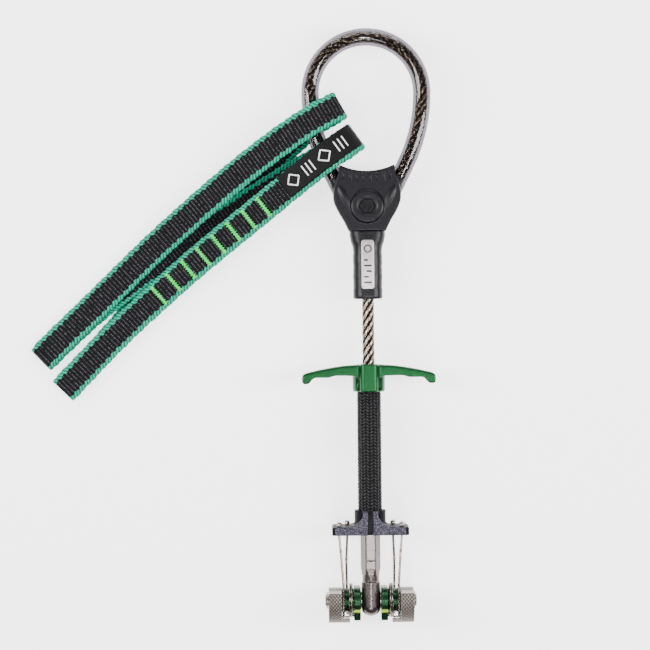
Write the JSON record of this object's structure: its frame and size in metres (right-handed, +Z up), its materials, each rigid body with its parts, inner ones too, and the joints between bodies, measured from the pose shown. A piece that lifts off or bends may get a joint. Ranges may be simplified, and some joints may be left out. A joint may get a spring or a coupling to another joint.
{
  "type": "spring loaded camming device",
  "caption": "Single-stem spring loaded camming device: opposed spiral lobes on one axle, sliding trigger with wires, wire thumb loop in a clear tube and a doubled webbing sling.",
  "frame": {"origin": "middle of the axle, where the cam lobes turn", "axes": "+X along the axle, +Y along the stem from the lobes to the thumb loop, +Z up from the table it lies on, across the crack it would be placed in"},
  "size_m": [0.1389, 0.2017, 0.0226],
  "materials": {
    "swaged_steel": "satin, pressed",
    "spring_steel": "drawn wire",
    "wire_rope": "stranded wire rope",
    "bare_aluminium": "pressed",
    "lobe_green": "green anodised, bare cross-hatched tread",
    "trigger_green": "green anodised, blasted",
    "slider_dark": "dark anodised",
    "label_metal": "printed foil plate",
    "black_sleeve": "satin heat-shrunk",
    "black_plastic": "moulded, fine grain",
    "black_braid": "braided monofilament",
    "clear_plastic": "clear extruded tube",
    "webbing": "woven, turquoise edges",
    "tack_thread": "sewn bar tack",
    "label_fabric": "woven label"
  },
  "bodies": {
    "root": {"head_terminal": "swaged_steel", "axle": "swaged_steel", "axle_washers": "swaged_steel", "wire_rope": "wire_rope", "loop_tube": "clear_plastic", "ferrule": "bare_aluminium", "ferrule_sleeve": "black_sleeve", "label_plate": "label_metal", "thumb_rest_front": "black_plastic", "thumb_rest_back": "black_plastic", "thumb_rest_screw": "swaged_steel", "thumb_rest_nut": "swaged_steel", "spring_left": "spring_steel", "spring_right": "spring_steel"},
    "trigger": {"slider": "slider_dark", "braided_sheath": "black_braid", "sheath_liner": "clear_plastic", "trigger_bar": "trigger_green"},
    "sling": {"sling_webbing": "webbing", "sling_bar_tacks": "tack_thread", "sling_label": "label_fabric"},
    "outer_left_lobe": {"lobe_outer_left": "lobe_green"},
    "outer_left_wire": {"wire_outer_left": "spring_steel", "stop_outer_left": "spring_steel"},
    "inner_left_lobe": {"lobe_inner_left": "lobe_green"},
    "inner_left_wire": {"wire_inner_left": "spring_steel", "stop_inner_left": "spring_steel"},
    "outer_right_lobe": {"lobe_outer_right": "lobe_green"},
    "outer_right_wire": {"wire_outer_right": "spring_steel", "stop_outer_right": "spring_steel"},
    "inner_right_lobe": {"lobe_inner_right": "lobe_green"},
    "inner_right_wire": {"wire_inner_right": "spring_steel", "stop_inner_right": "spring_steel"}
  },
  "joints": [
    {"name": "trigger_slide", "type": "slide", "parent": "root", "child": "trigger", "axis": [0, 1, 0], "range_m": [0, 0.0103], "stiffness_N_per_m": 700, "springref_m": -0.008},
    {"name": "outer_left_lobe_turn", "type": "hinge", "parent": "root", "child": "outer_left_lobe", "pos_m": [-0.0121, 0, 0], "axis": [1, 0, 0], "range_deg": [-95, 0], "deforming": ["spring_left"]},
    {"name": "outer_left_wire_tilt", "type": "hinge", "parent": "outer_left_lobe", "child": "outer_left_wire", "pos_m": [-0.00935, -0.00516, 0.00473], "axis": [1, 0, 0], "range_deg": [0, 95]},
    {"name": "inner_left_lobe_turn", "type": "hinge", "parent": "root", "child": "inner_left_lobe", "pos_m": [-0.00465, 0, 0], "axis": [1, 0, 0], "range_deg": [0, 95]},
    {"name": "inner_left_wire_tilt", "type": "hinge", "parent": "inner_left_lobe", "child": "inner_left_wire", "pos_m": [-0.00815, -0.00516, -0.00473], "axis": [1, 0, 0], "range_deg": [-95, 0]},
    {"name": "outer_right_lobe_turn", "type": "hinge", "parent": "root", "child": "outer_right_lobe", "pos_m": [0.0121, 0, 0], "axis": [1, 0, 0], "range_deg": [-95, 0], "deforming": ["spring_right"]},
    {"name": "outer_right_wire_tilt", "type": "hinge", "parent": "outer_right_lobe", "child": "outer_right_wire", "pos_m": [0.00935, -0.00516, 0.00473], "axis": [1, 0, 0], "range_deg": [0, 95]},
    {"name": "inner_right_lobe_turn", "type": "hinge", "parent": "root", "child": "inner_right_lobe", "pos_m": [0.00465, 0, 0], "axis": [1, 0, 0], "range_deg": [0, 95]},
    {"name": "inner_right_wire_tilt", "type": "hinge", "parent": "inner_right_lobe", "child": "inner_right_wire", "pos_m": [0.00815, -0.00516, -0.00473], "axis": [1, 0, 0], "range_deg": [-95, 0]},
    {"name": "sling_swing", "type": "hinge", "parent": "root", "child": "sling", "pos_m": [-0.0066, 0.158, 0], "axis": [0, 0, -1], "range_deg": [0, 15]}
  ],
  "couplings": [
    {"joint": "outer_left_lobe_turn", "follows": "trigger_slide", "rad_per_m": -160.96},
    {"joint": "outer_left_wire_tilt", "follows": "trigger_slide", "rad_per_m": 160.96},
    {"joint": "inner_left_lobe_turn", "follows": "trigger_slide", "rad_per_m": 160.96},
    {"joint": "inner_left_wire_tilt", "follows": "trigger_slide", "rad_per_m": -160.96},
    {"joint": "outer_right_lobe_turn", "follows": "trigger_slide", "rad_per_m": -160.96},
    {"joint": "outer_right_wire_tilt", "follows": "trigger_slide", "rad_per_m": 160.96},
    {"joint": "inner_right_lobe_turn", "follows": "trigger_slide", "rad_per_m": 160.96},
    {"joint": "inner_right_wire_tilt", "follows": "trigger_slide", "rad_per_m": -160.96}
  ]
}
